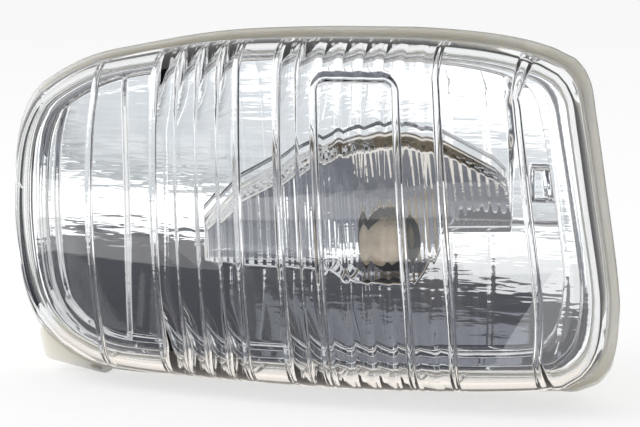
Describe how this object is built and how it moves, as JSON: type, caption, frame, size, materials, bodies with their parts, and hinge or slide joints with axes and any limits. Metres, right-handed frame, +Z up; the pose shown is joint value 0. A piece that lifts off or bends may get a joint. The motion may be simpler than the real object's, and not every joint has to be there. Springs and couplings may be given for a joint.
{
  "type": "mirror turn signal lamp",
  "caption": "Side turn signal for a door mirror: clear ribbed lens over a stepped metallised reflector, in a housing with a quarter-turn bulb holder.",
  "frame": {"origin": "centre of the face of the rear locating pad, above the bulb holder", "axes": "+X across the lamp to the viewer's right as one faces the lens, +Y from the lens to the rear, out of the pad, +Z up"},
  "size_m": [0.1444, 0.0716, 0.0841],
  "materials": {
    "lens": "clear moulded polycarbonate, polished",
    "reflector": "vacuum metallised plastic, mirror bright",
    "housing": "natural polypropylene, as moulded",
    "holder": "dark grey glass-filled nylon, as moulded",
    "contacts": "tinned",
    "bulb": "silvered glass",
    "seal": "moulded rubber",
    "vent_cap": "moulded rubber",
    "vent_membrane": "white breathable film"
  },
  "bodies": {
    "lamp": {"lens": "lens", "reflector": "reflector", "housing": "housing", "vent_cap": "vent_cap", "vent_membrane": "vent_membrane"},
    "bulb_holder": {"bulb_holder": "holder", "holder_seal": "seal", "contact_left": "contacts", "contact_right": "contacts", "bulb": "bulb"}
  },
  "joints": [
    {"name": "bulb_holder_twist", "type": "hinge", "parent": "lamp", "child": "bulb_holder", "pos_m": [0, 0, -0.0215], "axis": [0, 1, 0], "range_deg": [0, 45]}
  ]
}
